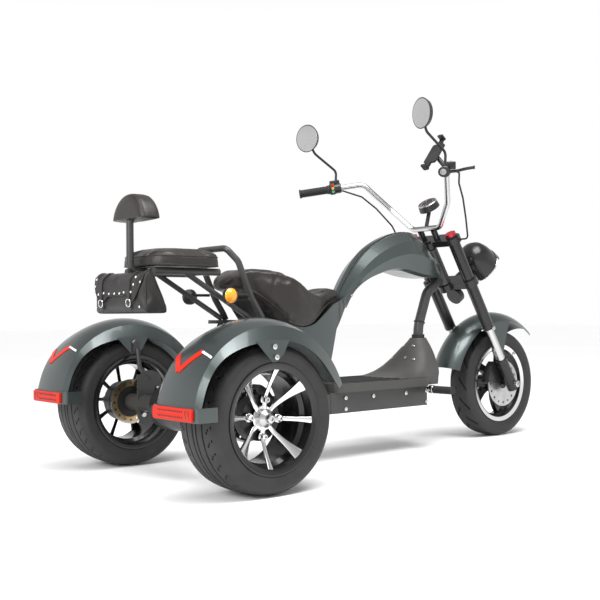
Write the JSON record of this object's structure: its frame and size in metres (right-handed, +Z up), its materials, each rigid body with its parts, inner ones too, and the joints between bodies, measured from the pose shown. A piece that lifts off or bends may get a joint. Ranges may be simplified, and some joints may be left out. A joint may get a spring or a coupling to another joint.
{
  "type": "electric chopper trike",
  "caption": "Three-wheeled electric chopper with a raked steered front wheel, two wide rear wheels under mudguards, arched tank cover, low footboard, saddle, passenger pad and rear bag.",
  "frame": {"origin": "on the ground under the middle of the trike's length and width", "axes": "+X forward along the trike, +Y to the rider's left, +Z up"},
  "size_m": [2.1414, 1.032, 1.3219],
  "materials": {
    "frame_paint": "satin charcoal powder coat",
    "body_paint": "metallic green-grey gloss paint",
    "deck_plastic": "moulded charcoal plastic",
    "rubber": "ribbed rubber",
    "leather": "dark brown leatherette",
    "bag_leather": "black-brown leather with studs",
    "black_plastic": "satin black moulding",
    "black_metal": "gloss black paint",
    "chrome": "bright chrome",
    "red_metal": "red anodised",
    "lamp_red": "clear red lens",
    "lamp_amber": "clear amber lens",
    "lamp_clear": "clear lens",
    "tyre": "grooved road tread",
    "alloy": "black alloy with machined spoke faces",
    "brake_steel": "machined steel, zinc plated drum"
  },
  "bodies": {
    "chassis": {"main_frame": "frame_paint", "rear_frame": "frame_paint", "battery_box": "frame_paint", "footboard": "deck_plastic", "foot_mat": "rubber", "tank_cover": "body_paint", "side_panels": "body_paint", "saddle": "leather", "saddle_base": "black_plastic", "passenger_pad": "leather", "rear_rack": "frame_paint", "backrest_pad": "leather", "tool_bag": "bag_leather", "rear_left_guard": "body_paint", "rear_right_guard": "body_paint", "tail_lamps": "lamp_red", "turn_signals": "black_plastic", "signal_lenses": "lamp_amber", "rear_axle": "frame_paint", "drive_unit": "black_metal", "rear_calipers": "black_metal", "foot_pegs": "rubber"},
    "steering": {"fork_yokes": "black_metal", "fork_legs": "black_metal", "fork_caps": "red_metal", "fork_stanchions": "chrome", "fork_sliders": "black_metal", "front_caliper": "black_metal", "front_guard": "body_paint", "headlight": "black_plastic", "headlight_lens": "lamp_clear", "handlebar": "chrome", "grips": "rubber", "bar_controls": "black_plastic", "mirrors": "black_plastic", "dash": "black_plastic", "phone_holder": "black_plastic", "horn": "black_metal", "cables": "rubber"},
    "front_wheel": {"front_tyre": "tyre", "front_rim": "alloy", "front_disc": "brake_steel"},
    "rear_left_wheel": {"rear_left_tyre": "tyre", "rear_left_rim": "alloy", "rear_left_hub": "brake_steel"},
    "rear_right_wheel": {"rear_right_tyre": "tyre", "rear_right_rim": "alloy", "rear_right_hub": "brake_steel"}
  },
  "joints": [
    {"name": "steer", "type": "hinge", "parent": "chassis", "child": "steering", "pos_m": [0.81141, 0, 0.21121], "axis": [-0.5225, 0, 0.8526], "range_deg": [-38, 38]},
    {"name": "front_wheel_spin", "type": "hinge", "parent": "steering", "child": "front_wheel", "pos_m": [0.84125, 0, 0.2295], "axis": [0, 1, 0], "continuous": true},
    {"name": "rear_left_wheel_spin", "type": "hinge", "parent": "chassis", "child": "rear_left_wheel", "pos_m": [-0.76875, 0.398, 0.228], "axis": [0, 1, 0], "continuous": true},
    {"name": "rear_right_wheel_spin", "type": "hinge", "parent": "chassis", "child": "rear_right_wheel", "pos_m": [-0.76875, -0.398, 0.228], "axis": [0, 1, 0], "continuous": true}
  ]
}
